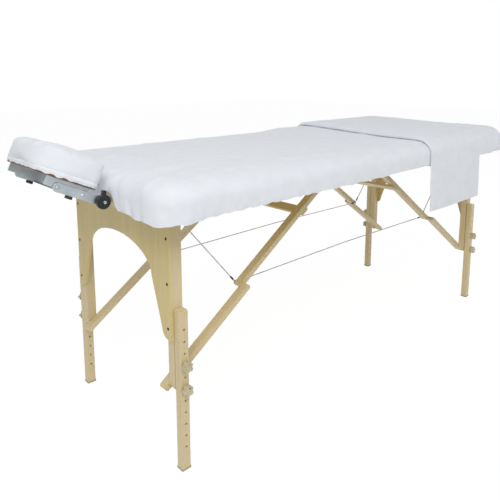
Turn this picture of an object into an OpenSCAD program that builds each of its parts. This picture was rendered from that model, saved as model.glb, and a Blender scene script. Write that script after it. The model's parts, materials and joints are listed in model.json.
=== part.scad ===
// Folding massage table on wooden legs, made up with sheets, with a face cradle.
// x runs from the head end (negative) to the foot end, y across, z up from the floor.
// Each half is drawn outward from the centre hinge, and the head half is mirrored.

/* [Deck] */
// Length of one half from the centre hinge to its end
half_l = 890; // [885:5:905]
// Width of the padded top
deck_w = 706; // [700:2:720]
// Radius of the outer corners of the top
corner_r = 80; // [70:1:84]
// Height of the centre hinge above the floor
hinge_z = 686; // [684:1:688]
// Height of the rails under the panel
rail_h = 41.5; // [40:0.5:44]
// Thickness of the rails
rail_t = 20; // [18:1:22]
// Thickness of the plywood panel
panel_t = 5; // [4:0.5:6]
// Thickness of the foam pad
pad_t = 35; // [30:1:45]

/* [Bedding] */
// Thickness of the fitted sheet with its hem
sheet_t = 2.5; // [2:0.5:3]
// Height of the folded top sheet above the fitted sheet
blanket_t = 16.5; // [10:0.5:20]
// Distance from the hinge to the top sheet's turned edge on the near side
blanket_near = 232; // [200:1:260]
// Same distance on the far side
blanket_far = 300; // [270:1:330]
// Height of the top sheet's hanging side edge above the floor
flap_z = 515; // [480:5:560]
// Length of the hanging side of the top sheet
flap_l = 390; // [350:5:420]

/* [Legs and braces] */
// Distance from the centre hinge to the legs' pivot
pivot_x = 790; // [788:1:794]
// Width of a leg seen from the side
leg_w = 28; // [26:1:28]
// Thickness of legs and struts across the table
bar_t = 25; // [23:1:25]
// Inside distance between the upper struts, halved
strut_y = 177; // [175:1:180]
// Width of a strut seen from the side
strut_w = 16; // [14:1:16]
// Distance between the holes of a leg extension
hole_pitch = 32; // [30:1:32]
// Number of holes in a leg extension
hole_count = 11; // [10:1:11]
// Thickness of the arched end panel
end_panel_t = 8; // [6:1:8]

/* [Face cradle] */
// Tilt of the face cradle above the level
cradle_tilt = 25; // [15:1:25]
// Length of the cradle cushion
cushion_l = 162; // [160:1:175]
// Width of the cradle cushion
cushion_w = 280; // [270:1:300]
// Height of the cradle cushion
cushion_h = 58; // [50:0.5:62]
// Width of the opening for the face
face_w = 92; // [84:1:100]
// Distance between the two support rods of the cradle
cradle_rods = 224; // [210:1:224]

/* [Hidden] */
$fn = 48;
run_gap = 0.5;
fit = 0.05;
eps = 0.01;

// Deck levels from the hinge axis up
deck_y = deck_w / 2;
rail_z = hinge_z + 0.5;
panel_z = rail_z + rail_h;
pad_z = panel_z + panel_t;
pad_top = pad_z + pad_t;
sheet_z = hinge_z + 2;
sheet_top = pad_top + run_gap + sheet_t;
sheet_x = half_l + run_gap + sheet_t;
sheet_y = deck_y + run_gap + sheet_t;
frame_l = half_l - 2;
frame_y = deck_y;
rail_start = 6;
deck_start = 1.5;
sheet_start = 1;
centre_rail_y = 222;

// Top sheet
blanket_skin = 3;
blanket_x = sheet_x + run_gap + blanket_skin;
blanket_y = sheet_y + run_gap + blanket_skin;
blanket_top = sheet_top + run_gap + blanket_t;
blanket_z = hinge_z + 4;

// Legs, drawn in the plane of the table's length
pivot_z = hinge_z + 23;
rod_r = 4;
bolt_r = 3;
lower_strut_y = strut_y + bar_t + run_gap;
leg_y = lower_strut_y + bar_t + run_gap;
extension_y = leg_y + bar_t + run_gap;
knob_y = extension_y + bar_t + run_gap;
tip_h = 6;
tip_w = leg_w + 1;
extension_top = 435;
extension_edge_r = 3;
hole_r = 3.2;
top_hole_z = 386;
bottom_hole_z = top_hole_z - (hole_count - 1) * hole_pitch;
bolt_z = [top_hole_z - 3 * hole_pitch, top_hole_z - 5 * hole_pitch];
strut_pin_z = bolt_z[1];
bolt_end = knob_y + 11;

// Knobs
knob_h = 18;
knob_lobes = 5;
knob_ring_r = 10;
knob_lobe_r = 5;
knob_hub_r = 8;
knob_skirt = 3;

// Arched end panel, seen from the end of the table
end_panel_x = pivot_x + leg_w / 2;
end_panel_y = leg_y + bar_t;
end_panel_z = 352;
end_panel_top = pivot_z - 10;
arch_z = 500;
arch_w = 172;
arch_h = 82;
arch_foot_w = 214;
lobe_r = 25;
screw_y = end_panel_y - 12;
screw_z = [382, 499, 615];
screw_r = 2;
end_panel_out = end_panel_x + end_panel_t;
screw_tip = end_panel_out - 26;
screw_head_r = 4;
screw_head_h = 0.6;

// Folding brace, straight when the table stands and doubled back when it is shut
brace_x = 90;
brace_open = norm([pivot_x - brace_x, pivot_z - strut_pin_z]);
brace_shut = pivot_x - (pivot_z - strut_pin_z) - brace_x;
upper_l = (brace_open + brace_shut) / 2;
lower_l = (brace_open - brace_shut) / 2;
brace_angle = atan2(pivot_z - strut_pin_z, pivot_x - brace_x);
elbow = [brace_x + upper_l * cos(brace_angle), pivot_z - upper_l * sin(brace_angle)];
strut_tail = 22;
crossbar_at = 215;
crossbar_w = 30;
crossbar_t = 10;
block_y = strut_y - 27;
block_t = 26.5;
block_x = 40;
block_l = 80;

// Centre hinge
pin_r = 2;
knuckle_r = 3.6;
knuckle_count = 9;
hinge_l = 440;
leaf_x = 4.5;
leaf_t = 1.5;
leaf_h = 35;

// Brace cables
cable_r = 1;
cable_y = strut_y - 5;
cable_pivot = [pivot_x, pivot_z];
cable_gap = rod_r + 1;
cable_top = cable_pivot + cable_gap * (elbow - cable_pivot) / norm(elbow - cable_pivot);
cable_middle_z = 412;
ferrule_r = 3;
ferrule_l = 18;
ferrule_at = 12;

// Face cradle, drawn from its tilt axis outward (u) and up (w)
support_z = hinge_z + 18;
cradle_axis = [half_l + 24, support_z];
support_y = cradle_rods / 2;
support_r = 6;
support_in = 835;
support_out = half_l + 15;
socket_r = 9;
socket_l = 53;
rod_in_lug = 4;
lug_t = 13;
lug_r = 10;
arm_y = support_y + 7;
arm_t = 4;
arm_h = 22;
arm_l = 118;
tie_u = 52;
tie_w = 20;
tie_t = 2;
bumper_u = 84;
bumper_r = 9;
bumper_h = 7;
bracket_y = arm_y - 4;
bracket_t = 3;
bracket_u = [40, 150];
bracket_w = [-2, 20];
board_t = 8;
board_inset = 5;
cushion_u = 18;
cushion_w0 = bracket_w[1] + board_t + run_gap;
cushion_in_r = 35;
cushion_out_r = 80;
face_l = 75;
cover_t = 2.2;
cover_drop = 2.5;
cam_y = arm_y + arm_t + 1;
cam_t = 10;
cam_r = 18;
lever_l = 24;
lever_w = 10;
lever_angle = 95;
pivot_rod_y = 140;

// The hinge lies off the middle, because only the head end carries a cradle
cradle_reach = cradle_axis[0] + (cushion_u + cushion_l + cover_t) * cos(cradle_tilt)
    - (cushion_w0 - cover_drop) * sin(cradle_tilt);
hinge_x = (cradle_reach - blanket_x) / 2;

wood = [0.84, 0.76, 0.56];
ply = [0.76, 0.68, 0.47];
linen = [0.92, 0.92, 0.93];
steel = [0.70, 0.74, 0.76];
black = [0.10, 0.10, 0.11];
grey = [0.70, 0.70, 0.60];
brown = [0.42, 0.30, 0.20];
foam = [0.90, 0.87, 0.78];

// Placing helpers
module head() {
    translate([hinge_x, 0, 0]) mirror([1, 0, 0]) children();
}

module foot() {
    translate([hinge_x, 0, 0]) children();
}

module near() {
    mirror([0, 1, 0]) children();
}

module both_sides() {
    children();
    near() children();
}

module on_cradle() {
    head() translate([cradle_axis[0], 0, cradle_axis[1]]) rotate([0, -cradle_tilt, 0]) children();
}

// Flat shape drawn in x and z, made solid between two distances across the table
module across(from, to) {
    translate([0, to, 0]) rotate([90, 0, 0]) linear_extrude(to - from) children();
}

module rod_across(at, r, from, to) {
    across(from, to) translate(at) circle(r);
}

module bar_2d(from, to, w) {
    way = to - from;
    translate(from) rotate(atan2(way[1], way[0])) translate([0, -w / 2]) square([norm(way), w]);
    translate(from) circle(w / 2);
    translate(to) circle(w / 2);
}

// Rectangle from x0 to x1 with round corners, one radius at each end
module round_rect_2d(x0, x1, half_w, r0, r1) {
    translate([x0 + r0, -half_w]) square([x1 - x0 - r0 - r1, 2 * half_w]);
    if (r0 > 0) {
        translate([x0, r0 - half_w]) square([r0 + eps, 2 * (half_w - r0)]);
        for (s = [-1, 1]) translate([x0 + r0, s * (half_w - r0)]) circle(r0);
    }
    translate([x1 - r1 - eps, r1 - half_w]) square([r1 + eps, 2 * (half_w - r1)]);
    for (s = [-1, 1]) translate([x1 - r1, s * (half_w - r1)]) circle(r1);
}

module deck_plate(x0, x1, half_w, r, z0, z1) {
    translate([0, 0, z0]) linear_extrude(z1 - z0) round_rect_2d(x0, x1, half_w, 0, r);
}

// Deck, the same on both halves
module side_rails() {
    both_sides() translate([rail_start, frame_y - rail_t, rail_z]) cube([half_l, rail_t, rail_h]);
}

module end_rail() {
    inner_y = frame_y - rail_t - 0.1;
    translate([frame_l - rail_t, -inner_y, rail_z]) cube([rail_t, 2 * inner_y, rail_h]);
}

module centre_rail() {
    translate([rail_start, -centre_rail_y, rail_z]) cube([rail_t - 1, 2 * centre_rail_y, rail_h]);
}

module socket_holes() {
    both_sides() translate([0, support_y, support_z]) rotate([0, 90, 0]) {
        cylinder(r = socket_r + fit, h = 2 * half_l);
    }
}

module rails() {
    difference() {
        intersection() {
            union() {
                side_rails();
                end_rail();
                centre_rail();
            }
            deck_plate(0, frame_l, frame_y, corner_r, rail_z, panel_z);
        }
        rod_across([pivot_x, pivot_z], rod_r + fit, -deck_w, deck_w);
    }
}

module deck_panel() {
    deck_plate(deck_start, frame_l, frame_y - 1, corner_r, panel_z, pad_z);
}

module pad() {
    deck_plate(deck_start, half_l, deck_y, corner_r, pad_z, pad_top);
}

module fitted_sheet() {
    outer_r = corner_r + run_gap + sheet_t;
    inner_r = corner_r + run_gap;
    difference() {
        deck_plate(sheet_start, sheet_x, sheet_y, outer_r, sheet_z, sheet_top);
        deck_plate(0, half_l + run_gap, deck_y + run_gap, inner_r, 0, pad_top + run_gap);
    }
}

module hinge_leaf(first) {
    pitch = hinge_l / knuckle_count;
    translate([leaf_x, -hinge_l / 2, hinge_z + 1]) cube([leaf_t, hinge_l, leaf_h]);
    for (i = [first : 2 : knuckle_count - 1]) {
        y0 = i * pitch - hinge_l / 2 + 0.2;
        y1 = y0 + pitch - 0.4;
        difference() {
            union() {
                rod_across([0, hinge_z], knuckle_r, y0, y1);
                translate([2.6, y0, hinge_z - 1]) cube([leaf_x - 2, y1 - y0, 4]);
            }
            rod_across([0, hinge_z], pin_r + fit, y0 - 1, y1 + 1);
        }
    }
}

module pivot_rods() {
    rod_across([pivot_x, pivot_z], rod_r, -frame_y, frame_y);
    rod_across([brace_x, pivot_z], rod_r, -strut_y - bar_t, strut_y + bar_t);
}

module brace_blocks() {
    both_sides() difference() {
        translate([block_x, block_y, hinge_z + 4]) cube([block_l, block_t, panel_z - hinge_z - 4]);
        rod_across([brace_x, pivot_z], rod_r + fit, 0, deck_y);
    }
}

// Straight wire from the elbow, with the ferrule crimped on near the elbow
module cable(to) {
    way = to - elbow;
    translate([elbow[0], cable_y, elbow[1]]) rotate([0, 90 - atan2(way[1], way[0]), 0]) {
        translate([0, 0, ferrule_at]) cylinder(r = ferrule_r, h = ferrule_l);
        translate([0, 0, ferrule_at / 2]) cylinder(r = cable_r, h = norm(way) - ferrule_at / 2);
    }
}

module cables() {
    both_sides() {
        cable(cable_top);
        cable([sheet_start, cable_middle_z]);
    }
}

// Leg frames, the same on both halves
module upper_legs() {
    both_sides() difference() {
        across(leg_y, leg_y + bar_t) bar_2d([pivot_x, strut_pin_z], [pivot_x, pivot_z], leg_w);
        rod_across([pivot_x, pivot_z], rod_r + fit, 0, deck_y);
        for (z = bolt_z) rod_across([pivot_x, z], bolt_r + fit, 0, deck_y);
        screw_row(screw_r + fit, screw_tip - 1, end_panel_x + 1);
    }
}

// Three screws in a row up one leg, from one distance to another along the table
module screw_row(r, from, to) {
    for (z = screw_z) translate([from, screw_y, z]) rotate([0, 90, 0]) cylinder(r = r, h = to - from);
}

// Half width of the arch at each height, wider where the lobes are rounded off
function lobe_point(a) = [
    arch_foot_w + lobe_r * (1 - cos(a)),
    end_panel_z + lobe_r * (1 - sin(a))
];
function arch_point(a) = [arch_w * cos(a), arch_z + arch_h * sin(a)];

module arch_2d() {
    low = [[arch_foot_w + lobe_r, end_panel_z - 1]];
    right = concat(low, [for (a = [90 : -15 : 0]) lobe_point(a)]);
    top = [for (a = [0 : 10 : 180]) arch_point(a)];
    left = [for (i = [len(right) - 1 : -1 : 0]) [-right[i][0], right[i][1]]];
    polygon(concat(right, top, left));
}

module end_panel() {
    difference() {
        translate([end_panel_x, 0, 0]) rotate([90, 0, 90]) linear_extrude(end_panel_t) difference() {
            translate([-end_panel_y, end_panel_z]) {
                square([2 * end_panel_y, end_panel_top - end_panel_z]);
            }
            arch_2d();
        }
        both_sides() screw_row(screw_r + fit, screw_tip, end_panel_out + 1);
    }
}

module panel_screws() {
    both_sides() {
        screw_row(screw_r, screw_tip, end_panel_out + eps);
        screw_row(screw_head_r, end_panel_out, end_panel_out + screw_head_h);
    }
}

module leg_bolts() {
    both_sides() {
        rod_across([pivot_x, bolt_z[0]], bolt_r, leg_y + 1, bolt_end);
        rod_across([pivot_x, bolt_z[1]], bolt_r, lower_strut_y + 0.5, bolt_end);
    }
}

module leg_extension() {
    difference() {
        translate([pivot_x, extension_y + bar_t / 2, tip_h]) linear_extrude(extension_top - tip_h) {
            round_rect_2d(-leg_w / 2, leg_w / 2, bar_t / 2, extension_edge_r, extension_edge_r);
        }
        across(0, deck_y) bar_2d([pivot_x, bottom_hole_z], [pivot_x, top_hole_z], 2 * hole_r);
    }
}

module foot_tip() {
    translate([pivot_x, extension_y + bar_t / 2, 0]) linear_extrude(tip_h) {
        round_rect_2d(-tip_w / 2, tip_w / 2, tip_w / 2 - 1.5, extension_edge_r, extension_edge_r);
    }
}

module knob(z) {
    difference() {
        union() {
            across(knob_y + knob_skirt, knob_y + knob_h - 2) translate([pivot_x, z]) {
                circle(knob_ring_r + 1);
                for (i = [0 : knob_lobes - 1]) rotate(i * 360 / knob_lobes) translate([knob_ring_r, 0]) {
                    circle(knob_lobe_r);
                }
            }
            rod_across([pivot_x, z], knob_hub_r, knob_y, knob_y + knob_h);
        }
        rod_across([pivot_x, z], bolt_r + fit, 0, bolt_end + 0.5);
    }
}

// Folding braces, the same on both halves
module upper_struts() {
    both_sides() difference() {
        across(strut_y, strut_y + bar_t) bar_2d([brace_x, pivot_z], elbow, strut_w);
        rod_across([brace_x, pivot_z], rod_r + fit, 0, deck_y);
    }
}

module crossbar() {
    translate([brace_x, 0, pivot_z]) rotate([0, brace_angle, 0]) {
        translate([crossbar_at - crossbar_w / 2, -strut_y - bar_t, -strut_w / 2 - crossbar_t]) {
            cube([crossbar_w, 2 * (strut_y + bar_t), crossbar_t]);
        }
    }
}

module lower_struts() {
    tail = [pivot_x + strut_tail * cos(brace_angle), strut_pin_z - strut_tail * sin(brace_angle)];
    both_sides() difference() {
        across(lower_strut_y, lower_strut_y + bar_t) bar_2d(elbow, tail, strut_w);
        rod_across([pivot_x, strut_pin_z], bolt_r + fit, 0, deck_y);
        rod_across(elbow, bolt_r + fit, 0, deck_y);
    }
}

module elbow_bolts() {
    both_sides() rod_across(elbow, bolt_r, lower_strut_y + 0.5, lower_strut_y + bar_t - 0.5);
}

// Top sheet, folded back on the foot half and hanging at the sides
module top_sheet_outline_2d() {
    intersection() {
        round_rect_2d(0, blanket_x, blanket_y, 0, corner_r + blanket_x - half_l);
        polygon([
            [blanket_near, -blanket_y], [2 * half_l, -blanket_y],
            [2 * half_l, blanket_y], [blanket_far, blanket_y]
        ]);
    }
}

module hanging_side(from) {
    translate([from, blanket_y - blanket_skin, flap_z]) cube([flap_l, blanket_skin, sheet_top - flap_z]);
}

module top_sheet() {
    inner_x = blanket_x - blanket_skin;
    inner_y = blanket_y - blanket_skin;
    inner_r = corner_r + inner_x - half_l;
    color(linen) foot() {
        difference() {
            translate([0, 0, blanket_z]) linear_extrude(blanket_top - blanket_z) top_sheet_outline_2d();
            deck_plate(0, inner_x, inner_y, inner_r, 0, sheet_top + run_gap);
        }
        near() hanging_side(blanket_near);
        hanging_side(blanket_far);
    }
}

// Face cradle
module cradle_base() {
    color(steel) head() both_sides() {
        translate([support_in, support_y, support_z]) rotate([0, 90, 0]) {
            cylinder(r = support_r, h = support_out + rod_in_lug - support_in);
        }
        difference() {
            across(support_y - lug_t / 2, support_y + lug_t / 2) {
                translate([support_out - lug_r, support_z - lug_r]) {
                    square([cradle_axis[0] - support_out + lug_r, 2 * lug_r]);
                }
                translate(cradle_axis) circle(lug_r);
            }
            rod_across(cradle_axis, rod_r + fit, 0, deck_y);
        }
    }
}

module cradle_pivot_rod() {
    color(steel) head() rod_across(cradle_axis, rod_r, -pivot_rod_y, pivot_rod_y);
}

module cradle_arms() {
    color(steel) on_cradle() {
        both_sides() difference() {
            across(arm_y, arm_y + arm_t) bar_2d([0, 0], [arm_l, 0], arm_h);
            for (u = [0, arm_l]) rod_across([u, 0], rod_r + fit, 0, deck_y);
        }
        translate([tie_u, -arm_y - eps, -arm_h / 2]) cube([tie_w, 2 * (arm_y + eps), tie_t]);
    }
}

module cradle_bumpers() {
    color(black) on_cradle() both_sides() {
        translate([bumper_u, arm_y + arm_t / 2, -arm_h / 2 - bumper_h]) cylinder(r = bumper_r, h = bumper_h);
    }
}

module platform_brackets() {
    color(steel) on_cradle() both_sides() {
        translate([bracket_u[0], bracket_y, bracket_w[0]]) {
            cube([bracket_u[1] - bracket_u[0], bracket_t, bracket_w[1] - bracket_w[0]]);
        }
        rod_across([arm_l, 0], rod_r, bracket_y, arm_y + arm_t + 0.5);
    }
}

module horseshoe_2d(grow) {
    difference() {
        round_rect_2d(
            cushion_u - grow, cushion_u + cushion_l + grow, cushion_w / 2 + grow,
            cushion_in_r + grow, cushion_out_r + grow
        );
        translate([cushion_u - half_l, grow - face_w / 2]) square([half_l + face_l, face_w - 2 * grow]);
        translate([cushion_u + face_l, 0]) circle(face_w / 2 - grow);
    }
}

module horseshoe(grow, w0, w1) {
    translate([0, 0, w0]) linear_extrude(w1 - w0) horseshoe_2d(grow);
}

module platform_board() {
    color(brown) on_cradle() horseshoe(-board_inset, bracket_w[1], bracket_w[1] + board_t);
}

module cradle_cushion() {
    color(foam) on_cradle() horseshoe(0, cushion_w0, cushion_w0 + cushion_h);
}

module cradle_cover() {
    inner = cover_t - 1.8;
    top = cushion_w0 + cushion_h;
    color(linen) on_cradle() difference() {
        horseshoe(cover_t, cushion_w0 - cover_drop, top + cover_t);
        horseshoe(inner, 0, top + inner);
    }
}

module cam_lever() {
    tip = cradle_axis + lever_l * [cos(lever_angle), sin(lever_angle)];
    color(black) head() near() difference() {
        across(cam_y, cam_y + cam_t) {
            translate(cradle_axis) circle(cam_r);
            bar_2d(cradle_axis, tip, lever_w);
        }
        rod_across(cradle_axis, rod_r + fit, 0, deck_y);
    }
}

// Nodes of the two halves
module head_rails() {
    color(wood) head() difference() {
        rails();
        socket_holes();
    }
}

module cradle_sockets() {
    color(steel) head() both_sides() {
        translate([frame_l - socket_l, support_y, support_z]) rotate([0, 90, 0]) difference() {
            cylinder(r = socket_r, h = socket_l);
            translate([0, 0, -1]) cylinder(r = support_r + fit, h = socket_l + 2);
        }
    }
}

// The hem of the head sheet is cut up round the two cradle rods
module head_fitted_sheet() {
    notch_w = 2 * socket_r + 4;
    color(linen) head() difference() {
        fitted_sheet();
        both_sides() translate([half_l - 5, support_y - notch_w / 2, 0]) {
            cube([4 * sheet_t, notch_w, support_z + socket_r + 2]);
        }
    }
}

module hinge_pin() {
    color(steel) foot() rod_across([0, hinge_z], pin_r, -hinge_l / 2, hinge_l / 2);
}

module head_deck_panel() {
    color(ply) head() deck_panel();
}

module head_pad() {
    color(foam) head() pad();
}

module head_pivot_rods() {
    color(steel) head() pivot_rods();
}

module head_brace_blocks() {
    color(wood) head() brace_blocks();
}

module head_cables() {
    color(steel) head() cables();
}

module head_upper_legs() {
    color(wood) head() upper_legs();
}

module head_end_panel() {
    color(ply) head() end_panel();
}

module head_panel_screws() {
    color(black) head() panel_screws();
}

module head_leg_bolts() {
    color(steel) head() leg_bolts();
}

module head_upper_struts() {
    color(wood) head() upper_struts();
}

module head_crossbar() {
    color(wood) head() crossbar();
}

module head_lower_struts() {
    color(wood) head() lower_struts();
}

module head_elbow_bolts() {
    color(steel) head() elbow_bolts();
}

module head_hinge_leaf() {
    color(steel) head() hinge_leaf(1);
}

module head_near_extension() {
    color(wood) head() near() leg_extension();
}

module head_near_foot_tip() {
    color(black) head() near() foot_tip();
}

module head_near_upper_knob() {
    color(grey) head() near() knob(bolt_z[0]);
}

module head_near_lower_knob() {
    color(grey) head() near() knob(bolt_z[1]);
}

module head_far_extension() {
    color(wood) head() leg_extension();
}

module head_far_foot_tip() {
    color(black) head() foot_tip();
}

module head_far_upper_knob() {
    color(grey) head() knob(bolt_z[0]);
}

module head_far_lower_knob() {
    color(grey) head() knob(bolt_z[1]);
}

module foot_rails() {
    color(wood) foot() rails();
}

module foot_deck_panel() {
    color(ply) foot() deck_panel();
}

module foot_pad() {
    color(foam) foot() pad();
}

module foot_fitted_sheet() {
    color(linen) foot() fitted_sheet();
}

module foot_pivot_rods() {
    color(steel) foot() pivot_rods();
}

module foot_brace_blocks() {
    color(wood) foot() brace_blocks();
}

module foot_cables() {
    color(steel) foot() cables();
}

module foot_upper_legs() {
    color(wood) foot() upper_legs();
}

module foot_end_panel() {
    color(ply) foot() end_panel();
}

module foot_panel_screws() {
    color(black) foot() panel_screws();
}

module foot_leg_bolts() {
    color(steel) foot() leg_bolts();
}

module foot_upper_struts() {
    color(wood) foot() upper_struts();
}

module foot_crossbar() {
    color(wood) foot() crossbar();
}

module foot_lower_struts() {
    color(wood) foot() lower_struts();
}

module foot_elbow_bolts() {
    color(steel) foot() elbow_bolts();
}

module foot_hinge_leaf() {
    color(steel) foot() hinge_leaf(0);
}

module foot_near_extension() {
    color(wood) foot() near() leg_extension();
}

module foot_near_foot_tip() {
    color(black) foot() near() foot_tip();
}

module foot_near_upper_knob() {
    color(grey) foot() near() knob(bolt_z[0]);
}

module foot_near_lower_knob() {
    color(grey) foot() near() knob(bolt_z[1]);
}

module foot_far_extension() {
    color(wood) foot() leg_extension();
}

module foot_far_foot_tip() {
    color(black) foot() foot_tip();
}

module foot_far_upper_knob() {
    color(grey) foot() knob(bolt_z[0]);
}

module foot_far_lower_knob() {
    color(grey) foot() knob(bolt_z[1]);
}

head_rails();
head_deck_panel();
head_pad();
head_fitted_sheet();
head_hinge_leaf();
head_pivot_rods();
head_brace_blocks();
head_cables();
cradle_sockets();
foot_rails();
foot_deck_panel();
foot_pad();
foot_fitted_sheet();
foot_hinge_leaf();
foot_pivot_rods();
foot_brace_blocks();
foot_cables();
top_sheet();
hinge_pin();
head_upper_legs();
head_end_panel();
head_panel_screws();
head_leg_bolts();
foot_upper_legs();
foot_end_panel();
foot_panel_screws();
foot_leg_bolts();
head_upper_struts();
head_crossbar();
head_lower_struts();
head_elbow_bolts();
foot_upper_struts();
foot_crossbar();
foot_lower_struts();
foot_elbow_bolts();
head_near_extension();
head_far_extension();
foot_near_extension();
foot_far_extension();
head_near_foot_tip();
head_far_foot_tip();
foot_near_foot_tip();
foot_far_foot_tip();
head_near_upper_knob();
head_near_lower_knob();
head_far_upper_knob();
head_far_lower_knob();
foot_near_upper_knob();
foot_near_lower_knob();
foot_far_upper_knob();
foot_far_lower_knob();
cradle_base();
cradle_pivot_rod();
cradle_arms();
cradle_bumpers();
platform_brackets();
platform_board();
cradle_cushion();
cradle_cover();
cam_lever();
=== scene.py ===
"""Looks of the folding massage table: bedding, wood, metal fittings, camera and studio."""
import json
import math
import random

import bmesh
import bpy
from mathutils import Matrix, Vector


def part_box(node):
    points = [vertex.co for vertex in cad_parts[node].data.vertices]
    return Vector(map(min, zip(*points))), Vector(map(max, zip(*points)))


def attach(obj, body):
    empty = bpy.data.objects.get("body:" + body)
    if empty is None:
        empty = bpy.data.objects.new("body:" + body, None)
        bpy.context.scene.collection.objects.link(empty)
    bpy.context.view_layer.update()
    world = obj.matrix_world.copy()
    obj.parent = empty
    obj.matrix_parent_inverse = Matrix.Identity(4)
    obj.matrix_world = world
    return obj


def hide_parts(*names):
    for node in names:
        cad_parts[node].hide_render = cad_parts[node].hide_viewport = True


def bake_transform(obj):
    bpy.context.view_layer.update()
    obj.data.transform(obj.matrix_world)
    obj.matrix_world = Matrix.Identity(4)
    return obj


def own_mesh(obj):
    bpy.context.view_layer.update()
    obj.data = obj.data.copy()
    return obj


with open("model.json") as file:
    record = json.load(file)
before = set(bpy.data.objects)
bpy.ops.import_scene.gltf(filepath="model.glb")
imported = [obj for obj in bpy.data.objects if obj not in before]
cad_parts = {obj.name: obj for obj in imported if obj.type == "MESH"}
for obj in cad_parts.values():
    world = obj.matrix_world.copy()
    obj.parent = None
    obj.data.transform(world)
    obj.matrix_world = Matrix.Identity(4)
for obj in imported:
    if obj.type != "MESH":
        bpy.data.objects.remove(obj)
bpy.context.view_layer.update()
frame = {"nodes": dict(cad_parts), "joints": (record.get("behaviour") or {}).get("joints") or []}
NODES = frame["nodes"]
JOINTS = {j["name"]: j for j in frame["joints"]}
MM = 0.001

# Places read from the frame
HINGE_X = JOINTS["foot_half_fold"]["pos_m"][0]
LEG_PIVOT = Vector(JOINTS["foot_leg_fold"]["pos_m"])
PIVOT_X = LEG_PIVOT.x - HINGE_X
PIVOT_Z = LEG_PIVOT.z
STRUT_PIN_Z = JOINTS["foot_lower_brace_fold"]["pos_m"][2]
BRACE_X = JOINTS["foot_upper_brace_fold"]["pos_m"][0] - HINGE_X
CRADLE_AXIS = Vector(JOINTS["cradle_arm_tilt"]["pos_m"])
PLATFORM_AXIS = Vector(JOINTS["cradle_platform_tilt"]["pos_m"])
ARM = PLATFORM_AXIS - CRADLE_AXIS
BRACE_ANGLE = math.atan2(PIVOT_Z - STRUT_PIN_Z, PIVOT_X - BRACE_X)
HALF_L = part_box("foot_pad")[1].x - HINGE_X
PAD_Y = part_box("foot_pad")[1].y
PAD_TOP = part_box("foot_pad")[1].z
SHEET_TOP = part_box("foot_fitted_sheet")[1].z
RAIL_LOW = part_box("foot_rails")[0].z
STRUT_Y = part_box("foot_brace_blocks")[1].y + 0.5 * MM
OPEN_SPAN = math.hypot(PIVOT_X - BRACE_X, PIVOT_Z - STRUT_PIN_Z)
SHUT_SPAN = PIVOT_X - (PIVOT_Z - STRUT_PIN_Z) - BRACE_X
UPPER_L = (OPEN_SPAN + SHUT_SPAN) / 2
ELBOW_X = BRACE_X + UPPER_L * math.cos(BRACE_ANGLE)
ELBOW_Z = PIVOT_Z - UPPER_L * math.sin(BRACE_ANGLE)
HALVES = {"head": -1, "foot": 1}
SIDES = {"near": -1, "far": 1}


def srgb(red, green, blue):
    """A colour given in 0 to 255 as the linear values that a shader takes."""
    return tuple(((c / 255 + 0.055) / 1.055) ** 2.4 for c in (red, green, blue)) + (1.0,)


# Camera near the photograph's place, with part of its vertical shift
CAMERA_PLACE = (HINGE_X - 1.4929, -1.2788, 1.0077)
CAMERA_YAW = 0.7457
CAMERA_PITCH = 0.1612
FOCAL_PX = 525.2
IMAGE_PX = 500
SENSOR_MM = 36
VIEW_SHIFT = -0.18


def make_camera():
    data = bpy.data.cameras.new("camera")
    data.sensor_width = SENSOR_MM
    data.lens = FOCAL_PX / IMAGE_PX * SENSOR_MM
    data.shift_y = VIEW_SHIFT
    camera = bpy.data.objects.new("camera", data)
    camera.location = CAMERA_PLACE
    camera.rotation_euler = (math.pi / 2 - CAMERA_PITCH, 0, -CAMERA_YAW)
    bpy.context.scene.collection.objects.link(camera)
    bpy.context.scene.camera = camera


class Shader:
    """A Principled material that nodes are added to by short calls."""

    def __init__(self, name, color, roughness, **sockets):
        self.material = bpy.data.materials.new(name)
        self.material.use_nodes = True
        self.tree = self.material.node_tree
        self.bsdf = self.tree.nodes["Principled BSDF"]
        self.bsdf.inputs["Base Color"].default_value = color
        self.bsdf.inputs["Roughness"].default_value = roughness
        for socket, value in sockets.items():
            self.bsdf.inputs[socket.replace("_", " ")].default_value = value

    def node(self, kind, inputs=None, **props):
        node = self.tree.nodes.new("ShaderNode" + kind)
        for prop, value in props.items():
            setattr(node, prop, value)
        for key, value in (inputs or {}).items():
            self.put(node.inputs[key], value)
        return node

    def put(self, socket, value):
        if isinstance(value, bpy.types.NodeSocket):
            self.tree.links.new(value, socket)
        else:
            socket.default_value = value

    def coords(self):
        return self.node("TexCoord").outputs["Object"]

    def mapped(self, vector, scale=(1, 1, 1), turn=(0, 0, 0)):
        inputs = {"Vector": vector, "Scale": scale, "Rotation": turn}
        return self.node("Mapping", inputs).outputs[0]

    def noise(self, vector, scale, detail=2.0, roughness=0.5):
        inputs = {"Vector": vector, "Scale": scale, "Detail": detail, "Roughness": roughness}
        return self.node("TexNoise", inputs).outputs[0]

    def wave(self, vector, scale, direction):
        inputs = {"Vector": vector, "Scale": scale}
        return self.node("TexWave", inputs, bands_direction=direction).outputs[1]

    def span(self, value, low, high, to_low=0.0, to_high=1.0):
        inputs = {0: value, 1: low, 2: high, 3: to_low, 4: to_high}
        return self.node("MapRange", inputs).outputs[0]

    def math(self, operation, a, b):
        return self.node("Math", {0: a, 1: b}, operation=operation).outputs[0]

    def mix(self, share, a, b):
        node = self.node("Mix", {0: share, 6: a, 7: b}, data_type="RGBA")
        return node.outputs[2]

    def bump(self, height, distance, strength=1.0, normal=None):
        inputs = {"Height": height, "Distance": distance, "Strength": strength}
        node = self.node("Bump", inputs)
        if normal is not None:
            self.put(node.inputs["Normal"], normal)
        return node.outputs[0]

    def set(self, socket, value):
        self.put(self.bsdf.inputs[socket], value)


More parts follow.
